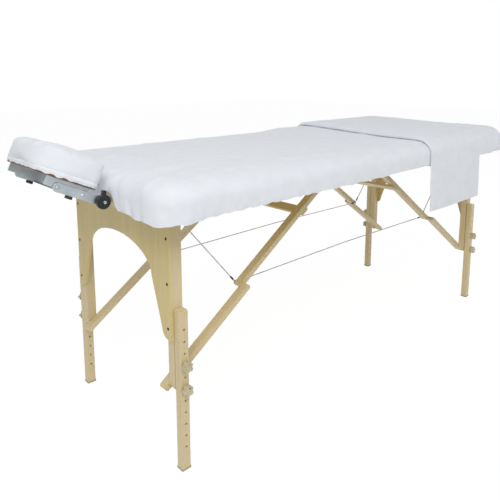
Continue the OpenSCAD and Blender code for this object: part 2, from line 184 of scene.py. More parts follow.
def wood(name, pale, dark, turn=(0, 0, 0), roughness=0.42):
    """Varnished timber whose grain runs along z after the turn."""
    shader = Shader(name, pale, roughness, Coat_Weight=0.12, Coat_Roughness=0.3)
    turned = shader.mapped(shader.coords(), turn=turn)
    grain = shader.mapped(turned, scale=(1, 1, 0.05))
    streaks = shader.noise(grain, 150, 5, 0.6)
    figure = shader.noise(grain, 22, 3, 0.55)
    flecks = shader.noise(shader.mapped(turned, scale=(1, 1, 0.12)), 620, 2, 0.5)
    tone = shader.mix(shader.span(figure, 0.32, 0.7, 0.0, 0.55), pale, dark)
    tone = shader.mix(shader.span(streaks, 0.45, 0.75, 0.0, 0.35), tone, dark)
    pores = shader.span(flecks, 0.62, 0.72, 0.0, 0.22)
    deep = tuple(0.55 * c for c in dark[:3]) + (1.0,)
    shader.set("Base Color", shader.mix(pores, tone, deep))
    shader.set("Roughness", shader.span(streaks, 0.3, 0.8, roughness - 0.08, roughness + 0.12))
    raised = shader.math("SUBTRACT", streaks, pores)
    shader.set("Normal", shader.bump(raised, 0.12 * MM, 0.3))
    return shader.material


def metal(name, color, roughness, turn=(0, 0, 0)):
    """Brushed metal, its brush marks along x after the turn."""
    shader = Shader(name, color, roughness, Metallic=1.0)
    turned = shader.mapped(shader.coords(), turn=turn)
    marks = shader.noise(shader.mapped(turned, scale=(0.04, 1, 1)), 1400, 3, 0.6)
    smears = shader.noise(turned, 30, 3, 0.5)
    dull = tuple(0.82 * c for c in color[:3]) + (1.0,)
    shader.set("Base Color", shader.mix(shader.span(smears, 0.35, 0.7), color, dull))
    shader.set("Roughness", shader.span(marks, 0.25, 0.75, roughness - 0.08, roughness + 0.14))
    shader.set("Normal", shader.bump(marks, 0.08 * MM, 0.3))
    return shader.material


def moulded(name, color, roughness, grain=900, depth=0.06 * MM):
    """Moulded plastic or rubber with a fine spark-eroded grain."""
    shader = Shader(name, color, roughness)
    where = shader.coords()
    pits = shader.noise(where, grain, 3, 0.6)
    cloud = shader.noise(where, 45, 3, 0.5)
    worn = tuple(min(1.0, 1.25 * c + 0.012) for c in color[:3]) + (1.0,)
    shader.set("Base Color", shader.mix(shader.span(cloud, 0.35, 0.75), color, worn))
    shader.set("Roughness", shader.span(cloud, 0.3, 0.7, roughness - 0.06, roughness + 0.1))
    shader.set("Normal", shader.bump(pits, depth, 0.5))
    return shader.material


def cloth(name, color, shade, thread=0.7 * MM, crease=0.5 * MM):
    """Plain woven cotton: threads both ways, slubs and small slack creases."""
    shader = Shader(name, color, 0.85, Sheen_Weight=0.18, Sheen_Roughness=0.5)
    shader.bsdf.inputs["Sheen Tint"].default_value = (1, 1, 1, 1)
    where = shader.coords()
    scale = 0.314 / thread
    threads = shader.math("ADD", shader.wave(where, scale, "X"), shader.wave(where, scale, "Y"))
    threads = shader.math("ADD", threads, shader.wave(where, scale, "Z"))
    slubs = shader.noise(shader.mapped(where, scale=(0.15, 1, 1)), 700, 2, 0.6)
    soft = shader.noise(where, 26, 4, 0.55)
    tone = shader.mix(shader.span(soft, 0.3, 0.72, 0.0, 0.5), color, shade)
    shader.set("Base Color", shader.mix(shader.span(slubs, 0.58, 0.72, 0.0, 0.25), tone, shade))
    woven = shader.bump(threads, 0.05 * MM, 0.35)
    shader.set("Normal", shader.bump(soft, crease, 0.6, woven))
    return shader.material


def stranded(name, color):
    """Twisted steel wire: slanting strands from two crossing bands."""
    shader = Shader(name, color, 0.38, Metallic=0.45)
    where = shader.coords()
    strands = shader.wave(shader.mapped(where, turn=(0.6, 0.5, 0.6)), 160, "DIAGONAL")
    cloud = shader.noise(where, 60, 2, 0.5)
    dull = tuple(0.6 * c for c in color[:3]) + (1.0,)
    shader.set("Base Color", shader.mix(shader.span(cloud, 0.3, 0.7), color, dull))
    shader.set("Normal", shader.bump(strands, 0.2 * MM, 0.6))
    return shader.material


BEECH = (srgb(224, 206, 163), srgb(205, 183, 136))
PLY = (srgb(224, 205, 146), srgb(207, 186, 122))
QUARTER = math.pi / 2
MATERIALS = {
    "beech_up": wood("beech_up", *BEECH),
    "beech_along": wood("beech_along", *BEECH, turn=(0, QUARTER, 0)),
    "beech_across": wood("beech_across", *BEECH, turn=(QUARTER, 0, 0)),
    "beech_head_strut": wood("beech_head_strut", *BEECH, turn=(0, BRACE_ANGLE - QUARTER, 0)),
    "beech_foot_strut": wood("beech_foot_strut", *BEECH, turn=(0, QUARTER - BRACE_ANGLE, 0)),
    "plywood": wood("plywood", *PLY, roughness=0.5),
    "fibreboard": wood("fibreboard", srgb(112, 80, 52), srgb(82, 57, 37), (0, QUARTER, 0), 0.6),
    "steel": metal("steel", srgb(196, 205, 210), 0.34),
    "wire": stranded("wire", srgb(206, 209, 212)),
    "black_metal": metal("black_metal", srgb(46, 44, 42), 0.45),
    "black_plastic": moulded("black_plastic", srgb(22, 23, 26), 0.42),
    "grey_plastic": moulded("grey_plastic", srgb(192, 183, 150), 0.46),
    "rubber": moulded("rubber", srgb(40, 39, 38), 0.72, 500, 0.12 * MM),
    "pale_rubber": moulded("pale_rubber", srgb(172, 162, 126), 0.7, 500, 0.12 * MM),
    "linen": cloth("linen", srgb(240, 241, 244), srgb(226, 229, 235)),
    "vinyl": moulded("vinyl", srgb(226, 218, 196), 0.5, 380, 0.2 * MM),
}


def add_object(name, mesh, materials):
    for material in materials:
        mesh.materials.append(MATERIALS[material])
    obj = bpy.data.objects.new(name, mesh)
    bpy.context.scene.collection.objects.link(obj)
    return obj


def mesh_object(name, points, faces, material):
    mesh = bpy.data.meshes.new(name)
    mesh.from_pydata([tuple(p) for p in points], [], faces)
    mesh.update()
    mesh.shade_smooth()
    return add_object(name, mesh, [material])


def bmesh_object(name, bm, materials, smooth=True):
    mesh = bpy.data.meshes.new(name)
    bmesh.ops.recalc_face_normals(bm, faces=bm.faces)
    bm.to_mesh(mesh)
    bm.free()
    if smooth:
        mesh.shade_smooth()
    return add_object(name, mesh, materials)


def apply_modifiers(obj):
    graph = bpy.context.evaluated_depsgraph_get()
    done = bpy.data.meshes.new_from_object(obj.evaluated_get(graph))
    obj.modifiers.clear()
    obj.data = done
    return obj


def thicken(obj, thickness):
    """Gives a sheet its thickness on the inner side, with crisp cut edges."""
    modifier = obj.modifiers.new("thickness", "SOLIDIFY")
    modifier.thickness = thickness
    modifier.offset = -1
    apply_modifiers(obj)
    obj.data.set_sharp_from_angle(angle=math.radians(60))


# Finishes and softened edges of the CAD pieces
CRADLE_STEEL = (
    "cradle_sockets", "cradle_base", "cradle_pivot_rod", "cradle_arms", "platform_brackets",
)
WELD_REACH = 0.01 * MM
FLAT_ANGLE = math.radians(0.5)
BEVEL_ANGLE = math.radians(40)
BEVEL_STEPS = 3
NORMAL_WEIGHT = 80


def finish_node(node, material, edge=0.0):
    obj = NODES[node]
    obj.data.materials.clear()
    obj.data.materials.append(MATERIALS[material])
    if edge:
        weld = obj.modifiers.new("weld", "WELD")
        weld.merge_threshold = WELD_REACH
        merge = obj.modifiers.new("merge", "DECIMATE")
        merge.decimate_type = "DISSOLVE"
        merge.angle_limit = FLAT_ANGLE
        bevel = obj.modifiers.new("edge", "BEVEL")
        bevel.width = edge
        bevel.segments = BEVEL_STEPS
        bevel.limit_method = "ANGLE"
        bevel.angle_limit = BEVEL_ANGLE
        even = obj.modifiers.new("even", "WEIGHTED_NORMAL")
        even.keep_sharp = True
        even.weight = NORMAL_WEIGHT


def finish_nodes():
    for half in HALVES:
        strut = "beech_%s_strut" % half
        finish_node(half + "_rails", "beech_along", 1.2 * MM)
        finish_node(half + "_deck_panel", "plywood", 0.5 * MM)
        finish_node(half + "_hinge_leaf", "steel")
        finish_node(half + "_pivot_rods", "steel", 0.6 * MM)
        finish_node(half + "_brace_blocks", "beech_along", 1.5 * MM)
        finish_node(half + "_upper_legs", "beech_up", 3 * MM)
        finish_node(half + "_end_panel", "plywood", 1.2 * MM)
        finish_node(half + "_panel_screws", "black_metal", 0.7 * MM)
        finish_node(half + "_leg_bolts", "steel", 0.5 * MM)
        finish_node(half + "_upper_struts", strut, 2.5 * MM)
        finish_node(half + "_lower_struts", strut, 2.5 * MM)
        finish_node(half + "_crossbar", "beech_across", 2 * MM)
        finish_node(half + "_elbow_bolts", "steel", 0.5 * MM)
        for side in SIDES:
            finish_node("%s_%s_foot_tip" % (half, side), "pale_rubber", 1.2 * MM)
            for level in ("upper", "lower"):
                finish_node("%s_%s_%s_knob" % (half, side, level), "grey_plastic", 1.6 * MM)
    for node in CRADLE_STEEL:
        finish_node(node, "steel", 0.6 * MM)
    finish_node("hinge_pin", "steel", 0.4 * MM)
    finish_node("cradle_bumpers", "rubber", 1.5 * MM)
    finish_node("platform_board", "fibreboard", 1.5 * MM)
    finish_node("cam_lever", "black_plastic", 1.5 * MM)


# Leg extensions with their rows of holes
EXTENSION_EDGE = 5 * MM
HOLE_R = 3.2 * MM
HOLE_PITCH = 32 * MM
HOLE_COUNT = 11
BOLT_HOLE = 5
HOLE_SEGMENTS = 24
EDGE_STEPS = 6
END_RIM = 1.5 * MM


def rounded_outline(half_x, half_y, r, steps):
    points = []
    for quarter in range(4):
        sx = (1, -1, -1, 1)[quarter]
        sy = (1, 1, -1, -1)[quarter]
        for step in range(steps + 1):
            angle = QUARTER * (quarter + step / steps)
            x = sx * (half_x - r) + r * math.cos(angle)
            points.append((x, sy * (half_y - r) + r * math.sin(angle)))
    return points


def make_extension(half, side):
    node = "%s_%s_extension" % (half, side)
    low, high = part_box(node)
    centre = (low + high) / 2
    half_x = (high.x - low.x) / 2
    half_y = (high.y - low.y) / 2
    outline = rounded_outline(half_x, half_y, EXTENSION_EDGE, EDGE_STEPS)
    bm = bmesh.new()
    rings = []
    for z, inset in ((low.z, 0), (high.z - END_RIM, 0), (high.z, END_RIM)):
        shrink = 1 - inset / half_y
        ring = []
        for x, y in outline:
            ring.append(bm.verts.new((centre.x + x * shrink, centre.y + y * shrink, z)))
        rings.append(ring)
    for lower, upper in zip(rings, rings[1:]):
        for i in range(len(outline)):
            k = (i + 1) % len(outline)
            bm.faces.new((lower[i], lower[k], upper[k], upper[i]))
    bm.faces.new(rings[0][::-1])
    bm.faces.new(rings[-1])
    piece = bmesh_object("%s_%s_leg_extension" % (half, side), bm, ["beech_up"], smooth=False)

    drill = bmesh.new()
    for i in range(HOLE_COUNT):
        z = STRUT_PIN_Z + (BOLT_HOLE - i) * HOLE_PITCH
        place = Matrix.Translation((centre.x, centre.y, z)) @ Matrix.Rotation(QUARTER, 4, "X")
        bmesh.ops.create_cone(
            drill, cap_ends=True, segments=HOLE_SEGMENTS, radius1=HOLE_R, radius2=HOLE_R,
            depth=8 * half_y, matrix=place,
        )
    cutter = bmesh_object("drill", drill, [])
    cut = piece.modifiers.new("holes", "BOOLEAN")
    cut.object = cutter
    cut.solver = "EXACT"
    apply_modifiers(piece)
    bpy.data.objects.remove(cutter)
    piece.data.shade_smooth()
    piece.data.set_sharp_from_angle(angle=math.radians(35))
    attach(piece, "%s_%s_leg_extension" % (half, side))
    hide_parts(node)


# Brace cables with their crimped ferrules and eyes
CABLE_R = 1.7 * MM
CABLE_SEGMENTS = 8
CABLE_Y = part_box("foot_cables")[1].y - 3 * MM
CABLE_MIDDLE_Z = 0.412
FERRULE_R = 2.8 * MM
FERRULE_AT = 12 * MM
FERRULE_L = 18 * MM
FERRULE_TAPER = 3 * MM
EYE_R = 5 * MM


def add_rod(bm, start, end, r0, r1, material, segments=12):
    way = end - start
    turn = way.to_track_quat("Z", "Y").to_matrix().to_4x4()
    made = bmesh.ops.create_cone(
        bm, cap_ends=True, segments=segments, radius1=r0, radius2=r1, depth=way.length,
        matrix=Matrix.Translation((start + end) / 2) @ turn,
    )
    for face in {f for v in made["verts"] for f in v.link_faces}:
        face.material_index = material


def add_ring(bm, centre, r, wire_r, material, steps=20, sides=8):
    """A ring of wire round an axis along y."""
    loops = []
    for i in range(steps):
        a = 2 * math.pi * i / steps
        out = Vector((math.cos(a), 0, math.sin(a)))
        loop = []
        for k in range(sides):
            b = 2 * math.pi * k / sides
            offset = out * (r + wire_r * math.cos(b)) + Vector((0, wire_r * math.sin(b), 0))
            loop.append(bm.verts.new(centre + offset))
        loops.append(loop)
    for i in range(steps):
        one, two = loops[i], loops[(i + 1) % steps]
        for k in range(sides):
            face = bm.faces.new((one[k], two[k], two[(k + 1) % sides], one[(k + 1) % sides]))
            face.material_index = material


def make_cables(half):
    sign = HALVES[half]
    bm = bmesh.new()
    for side in SIDES.values():
        elbow = Vector((HINGE_X + sign * ELBOW_X, side * CABLE_Y, ELBOW_Z))
        ends = (
            Vector((HINGE_X + sign * PIVOT_X, side * CABLE_Y, PIVOT_Z)),
            Vector((HINGE_X, side * CABLE_Y, CABLE_MIDDLE_Z)),
        )
        add_ring(bm, elbow, EYE_R, CABLE_R, 0)
        add_ring(bm, ends[0], EYE_R, CABLE_R, 0)
        for end, gap in zip(ends, (EYE_R, 0.0)):
            way = (end - elbow).normalized()
            add_rod(bm, elbow + way * EYE_R, end - way * gap, CABLE_R, CABLE_R, 0, CABLE_SEGMENTS)
            crimps = [elbow + way * FERRULE_AT]
            if gap:
                crimps.append(end - way * (FERRULE_AT + FERRULE_L))
            for start in crimps:
                stop = start + way * FERRULE_L
                taper = way * FERRULE_TAPER
                add_rod(bm, start, start + taper, CABLE_R, FERRULE_R, 1)
                add_rod(bm, start + taper, stop - taper, FERRULE_R, FERRULE_R, 1)
                add_rod(bm, stop - taper, stop, FERRULE_R, CABLE_R, 1)
    piece = bmesh_object(half + "_brace_cables", bm, ["wire", "black_plastic"])
    piece.data.set_sharp_from_angle(angle=math.radians(50))
    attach(piece, half + "_half")
    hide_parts(half + "_cables")
    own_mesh(piece)


# Domed heads of bolts and rivets, pointing along y
def add_dome(bm, centre, r, height, outward, steps=4, segments=20):
    rings = []
    for i in range(steps):
        a = QUARTER * i / steps
        ring = []
        for k in range(segments):
            b = 2 * math.pi * k / segments
            out = Vector((math.cos(b), 0, math.sin(b))) * r * math.cos(a)
            ring.append(bm.verts.new(centre + out + Vector((0, outward * height * math.sin(a), 0))))
        rings.append(ring)
    for one, two in zip(rings, rings[1:]):
        for k in range(segments):
            bm.faces.new((one[k], one[(k + 1) % segments], two[(k + 1) % segments], two[k]))
    bm.faces.new(rings[0])
    bm.faces.new(rings[-1])


ELBOW_HEAD_R = 6.5 * MM
RIVET_R = 4.5 * MM
RIVET_H = 2.2 * MM
RIVET_SHARES = (0.45, 1.0)


def make_bolt_heads():
    for half, sign in HALVES.items():
        bm = bmesh.new()
        for side in SIDES.values():
            place = Vector((HINGE_X + sign * ELBOW_X, side * STRUT_Y, ELBOW_Z))
            add_dome(bm, place, ELBOW_HEAD_R, RIVET_H, -side)
        heads = bmesh_object(half + "_elbow_heads", bm, ["steel"])
        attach(heads, half + "_upper_brace")
    arm_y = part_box("cradle_arms")[1].y
    bm = bmesh.new()
    for side in SIDES.values():
        for share in RIVET_SHARES:
            place = CRADLE_AXIS + ARM * share
            add_dome(bm, Vector((place.x, side * arm_y, place.z)), RIVET_R, RIVET_H, side)
    rivets = bmesh_object("cradle_arm_rivets", bm, ["steel"])
    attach(rivets, "cradle_arms")


# Bedding
CREASE_LENGTHS = (0.05, 0.16)
CREASE_WIDTHS = (0.008, 0.02)
WANDER_SINES = 5
WANDER_SPREAD = (0.5, 2.2)


def crease_field(seed, count, x_range, y_range, heights):
    """Soft ridges of slack cloth, as (centre, direction, length, width, height)."""
    draw = random.Random(seed)
    ridges = []
    for _ in range(count):
        angle = draw.uniform(0, math.pi)
        ridges.append((
            draw.uniform(*x_range), draw.uniform(*y_range), math.cos(angle), math.sin(angle),
            draw.uniform(*CREASE_LENGTHS), draw.uniform(*CREASE_WIDTHS), draw.uniform(*heights),
        ))
    return ridges


def crease_height(ridges, x, y):
    height = 0.0
    for cx, cy, dx, dy, length, width, high in ridges:
        along = (x - cx) * dx + (y - cy) * dy
        off = (y - cy) * dx - (x - cx) * dy
        height += high * math.exp(-((along / length) ** 2) - (off / width) ** 2)
    return height


def wander(seed, base):
    """A smooth wave of one variable, from a few sines with seeded phases."""
    draw = random.Random(seed)
    parts = []
    for _ in range(WANDER_SINES):
        parts.append((base * draw.uniform(*WANDER_SPREAD), draw.uniform(0, 2 * math.pi)))
    return lambda s: sum(math.sin(f * s + p) for f, p in parts) / len(parts)


def smooth(low, high, value):
    t = min(1.0, max(0.0, (value - low) / (high - low)))
    return t * t * (3 - 2 * t)


EDGE_IN = 60 * MM
EDGE_DOWN = 46 * MM
TOP_CORNER = 26 * MM
CORNER_R = 82 * MM
SKIRT_OUT = 4 * MM
ARC_ROWS = 9
SKIRT_ROWS = 8
CLOTH_T = 1.0 * MM
ROW_STEP = 9 * MM
CORNER_ROWS = 12
COLUMNS = 81


class Deck:
    """Grid over one half of the deck: a top, and a rounded edge and skirt round three sides.

    Points are (x outward from the hinge, y, z). Each row runs across the deck, and a column of
    the skirt hangs from each point of the border, from the near side round the end to the far."""

    def __init__(self, length, half_w, start):
        self.points = []
        self.faces = []
        self.start = start
        self.top = (length - EDGE_IN, half_w - EDGE_IN, TOP_CORNER)
        self.outer = (length, half_w, CORNER_R)
        count = max(2, int((length - start(1)) / ROW_STEP))
        self.rows = [(i / count, 0.0) for i in range(count)]
        self.rows += [(1.0, QUARTER * i / CORNER_ROWS) for i in range(CORNER_ROWS + 1)]

    def flat(self, outline, row, v):
        """Flat place in a row of an outline, v from -1 at the near side to 1 at the far."""
        length, half_w, r = outline
        share, turn = row
        first = self.start(v)
        x = first + share * (length - r - first) + r * math.sin(turn)
        return x, v * (half_w - r + r * math.cos(turn))

    def add(self, x, y, z):
        self.points.append((x, y, z))
        return len(self.points) - 1

    def join(self, one, two):
        for a, b, c, d in zip(one, one[1:], two[1:], two):
            self.faces.append((a, b, c, d))

    def add_grid(self, outline, rows, height):
        """Rows of points at a height that is a function of the row, x and y."""
        grid = []
        for row in rows:
            line = []
            for j in range(COLUMNS):
                x, y = self.flat(outline, row[:2], 2 * j / (COLUMNS - 1) - 1)
                line.append(self.add(x, y, height(row, x, y)))
            grid.append(line)
        for one, two in zip(grid, grid[1:]):
            self.join(one, two)
        return grid

    def border(self, grid, rows):
        """Points of the border with their row, place on the outer outline and outward normal."""
        ring = [(i, 0) for i in range(len(rows))]
        ring += [(len(rows) - 1, j) for j in range(1, COLUMNS - 1)]
        ring += [(i, COLUMNS - 1) for i in reversed(range(len(rows)))]
        for i, j in ring:
            row = rows[i]
            v = 2 * j / (COLUMNS - 1) - 1
            x, y = self.flat(self.outer, row[:2], v)
            side = (v > 0) - (v < 0) if j in (0, COLUMNS - 1) else 0
            turn = row[1] if side else QUARTER
            yield grid[i][j], row, side, (x, y), (math.sin(turn), side * math.cos(turn))

    def roll(self, index, out, rows, down):
        """Quarter of an ellipse from a border point down to the outer outline."""
        x, y, z = self.points[index]
        column = [index]
        for k in range(1, rows + 1):
            a = QUARTER * k / rows
            along = math.sin(a)
            column.append(self.add(
                x + (out[0] - x) * along, y + (out[1] - y) * along, z - down * (1 - math.cos(a))
            ))
        return column

    def stitch(self, columns):
        for one, two in zip(columns, columns[1:]):
            self.join(two, one)

    def build(self, name, sign, material):
        points = [(HINGE_X + sign * x, y, z) for x, y, z in self.points]
        faces = self.faces if sign < 0 else [f[::-1] for f in self.faces]
        return mesh_object(name, points, faces, material)


FAR_RISE = 9 * MM


def rise(half, x, y):
    """How much higher the far side of the foot half stands past the hinge."""
    if half == "head":
        return 0.0
    return FAR_RISE * smooth(0.0, 0.14, x) * smooth(-0.15, 0.3, y)


# Foam pads with rounded edges
PAD_IN = 3 * MM
PAD_DOWN = 38 * MM
PAD_START = 1.5 * MM
PAD_SINK = 0.5 * MM
PAD_ROLL_STOP = 1 * MM


def make_pad(half):
    floor_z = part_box(half + "_pad")[0].z
    deck = Deck(HALF_L - PAD_IN, PAD_Y - PAD_IN, lambda v: PAD_START)
    top = deck.add_grid(deck.top, deck.rows, lambda row, x, y: PAD_TOP - PAD_SINK)
    columns = []
    for index, _, _, out, _ in deck.border(top, deck.rows):
        column = deck.roll(index, out, ARC_ROWS, PAD_DOWN)
        column = [k for k in column if deck.points[k][2] > floor_z + PAD_ROLL_STOP]
        columns.append(column + [deck.add(out[0], out[1], floor_z)])
    deck.stitch(columns)
    hem = [column[-1] for column in columns]
    first_face = len(deck.faces)
    bottom = deck.add_grid(deck.outer, deck.rows, lambda row, x, y: floor_z)
    # The floor's border points are the hem's own points
    edge = [k for k, *_ in deck.border(bottom, deck.rows)]
    shared = dict(zip(edge, hem))
    for i in range(first_face, len(deck.faces)):
        deck.faces[i] = tuple(shared.get(k, k) for k in deck.faces[i][::-1])
    floor_row = [shared.get(k, k) for k in bottom[0]]
    deck.faces.append(tuple(top[0][::-1] + columns[0][1:] + floor_row[1:-1] + columns[-1][:0:-1]))
    pad = deck.build(half + "_foam_pad", HALVES[half], "vinyl")
    clean_mesh(pad)
    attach(pad, half + "_half")
    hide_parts(half + "_pad")


def clean_mesh(obj):
    """Drops points that no face uses and turns every face outward."""
    bm = bmesh.new()
    bm.from_mesh(obj.data)
    bmesh.ops.delete(bm, geom=[v for v in bm.verts if not v.link_faces], context="VERTS")
    bmesh.ops.recalc_face_normals(bm, faces=bm.faces)
    bm.to_mesh(obj.data)
    bm.free()
    obj.data.update()


# Fitted sheets with gathered hems
NOTCH_HALF_W = 34 * MM
NOTCH_H = 40 * MM
CORNER_DROOP = 9 * MM
CORNER_FLARE = 2 * MM
FLARE_LIMIT = 2.5 * MM
PLEAT_LIMIT = 2.6 * MM
HINGE_FADE = 60 * MM
PLEAT_W = 5 * MM
PLEAT_REACH = 0.06
PLEAT_COUNT = 64
PLEAT_RUN_L = 2.6
FIT_CREASES = 34
FIT_CREASE_HEIGHTS = (0.7 * MM, 2.4 * MM)
CREASE_Y = (-0.3, 0.3)
ROD_IN = 9 * MM
HINGE_DIP = 0.4 * MM
HINGE_DIP_W = 12 * MM
ROLL_SHARE = 0.55
HEM_TUCK = 1.2 * MM

# Slack folds of the head sheet: x, y, direction, length, width and height
HEAD_FOLDS = [
    (0.80, -0.25, -0.93, 0.37, 0.10, 13 * MM, 5.0 * MM),
    (0.74, -0.15, -0.97, 0.24, 0.13, 16 * MM, 4.2 * MM),
    (0.83, -0.12, -0.80, 0.60, 0.08, 12 * MM, 4.0 * MM),
    (0.62, -0.27, -0.99, 0.12, 0.12, 14 * MM, 4.0 * MM),
    (0.79, 0.06, -0.94, -0.34, 0.11, 15 * MM, 3.8 * MM),
    (0.55, -0.08, -0.90, 0.44, 0.14, 18 * MM, 3.2 * MM),
    (0.36, -0.26, -0.98, -0.20, 0.12, 14 * MM, 3.4 * MM),
]


def pleats(seed, count, length):
    """Seeded gathers: where along the hem, slant, depth and how far up they run."""
    draw = random.Random(seed)
    return [(
        length * (i + draw.uniform(0.1, 0.9)) / count, draw.uniform(-0.5, 0.5),
        draw.uniform(1.0, 3.2) * MM, draw.uniform(0.35, 1.0),
    ) for i in range(count)]


def pleat_depth(folds, s, t):
    depth = 0.0
    for place, slant, deep, run in folds:
        if abs(s - place) > PLEAT_REACH:
            continue
        off = s - place - slant * PLEAT_REACH * (1 - t)
        depth += deep * math.exp(-((off / PLEAT_W) ** 2)) * smooth(1 - run, 1.0, t)
    return depth


def make_fitted_sheet(half, seed):
    sign = HALVES[half]
    deck = Deck(HALF_L + SKIRT_OUT, PAD_Y + SKIRT_OUT, lambda v: 0.0)
    ridges = crease_field(seed, FIT_CREASES, (0.05, 0.88), CREASE_Y, FIT_CREASE_HEIGHTS)
    ridges += HEAD_FOLDS if half == "head" else []
    ruffle = wander(seed + 1, 150)
    scallop = wander(seed + 2, 90)
    lean = wander(seed + 3, 30)
    folds = pleats(seed + 4, PLEAT_COUNT, PLEAT_RUN_L)
    rod_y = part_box("cradle_sockets")[1].y - ROD_IN

    def height(_, x, y):
        dip = HINGE_DIP * math.exp(-((x / HINGE_DIP_W) ** 2))
        slack = crease_height(ridges, x, y) * smooth(0.0, 0.04, x)
        return SHEET_TOP - 1 * MM + slack - dip + rise(half, x, y)

    grid = deck.add_grid(deck.top, deck.rows, height)
    columns = []
    s = 0.0
    last = None
    for index, _, side, out, normal in deck.border(grid, deck.rows):
        s += 0.0 if last is None else math.hypot(out[0] - last[0], out[1] - last[1])
        last = out
        z = deck.points[index][2]
        down = EDGE_DOWN + rise(half, out[0], out[1])
        column = deck.roll(index, out, ARC_ROWS, down)
        loose = smooth(0.72, 0.9, out[0]) if half == "head" else 0.0
        at_rod = 0.0
        if half == "head" and side == 0:
            at_rod = math.exp(-(((abs(out[1]) - rod_y) / NOTCH_HALF_W) ** 4))
        free = smooth(0.0, HINGE_FADE, out[0])
        if half == "head":
            low = CORNER_DROOP * loose * smooth(0.18, 0.34, abs(out[1]))
            hem = (-3 + 4 * scallop(s) + 2 * ruffle(s)) * MM - low
        else:
            hem = (1.5 + 1.5 * scallop(s) + ruffle(s)) * MM
            hem += CORNER_DROOP * smooth(0.6, 0.8, out[0])
        hem = RAIL_LOW + free * hem + NOTCH_H * at_rod
        top = z - down
        for k, point in enumerate(column[1:], 1):
            t = ROLL_SHARE * k / ARC_ROWS
            x, y, level = deck.points[point]
            reach = -min(pleat_depth(folds, s, t) * (0.6 + loose), PLEAT_LIMIT) * free
            reach += loose * 1.5 * MM * t * lean(s)
            deck.points[point] = (x + normal[0] * reach, y + normal[1] * reach, level)
        for k in range(1, SKIRT_ROWS + 1):
            share = k / SKIRT_ROWS
            t = ROLL_SHARE + (1 - ROLL_SHARE) * share
            swell = (3.2 + 3.0 * loose) * MM * share * ruffle(s) + loose * 3 * MM * t * lean(s)
            swell -= pleat_depth(folds, s, t) * (0.5 + 2.0 * loose)
            swell += loose * CORNER_FLARE * share
            swell = max(swell - HEM_TUCK * smooth(0.7, 1.0, share), -PLEAT_LIMIT)
            reach = min(swell * (1 - at_rod) * free, FLARE_LIMIT)
            column.append(deck.add(
                out[0] + normal[0] * reach, out[1] + normal[1] * reach, top + (hem - top) * share
            ))
        columns.append(column)
    deck.stitch(columns)
    sheet = deck.build(half + "_bed_sheet", sign, "linen")
    thicken(sheet, CLOTH_T)
    if half == "head":
        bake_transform(sheet)
    else:
        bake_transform(sheet)
    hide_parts(half + "_fitted_sheet")


# Top sheet, turned back at its front edge and hanging at both sides
FOLD_ROWS = 9
FOLD_TUCK = 40 * MM
TOP_LIFT = 15 * MM
SIDE_LIFT = 4.5 * MM
FLAP_ROWS = 18
FLAP_L = 390 * MM
FLAP_SWING = 5 * MM
FRONT_SKEW = 68 * MM
TOP_OUT = SKIRT_OUT + 1.4 * MM
TOP_GAP = 0.6 * MM
TOP_SEED = 77
TOP_CREASES = 20
TOP_CREASE_HEIGHTS = (0.6 * MM, 2.0 * MM)
TUCK_ROWS = 4
TUCK_LOW = RAIL_LOW - 0.5 * MM
TUCK_WAVE = 3 * MM


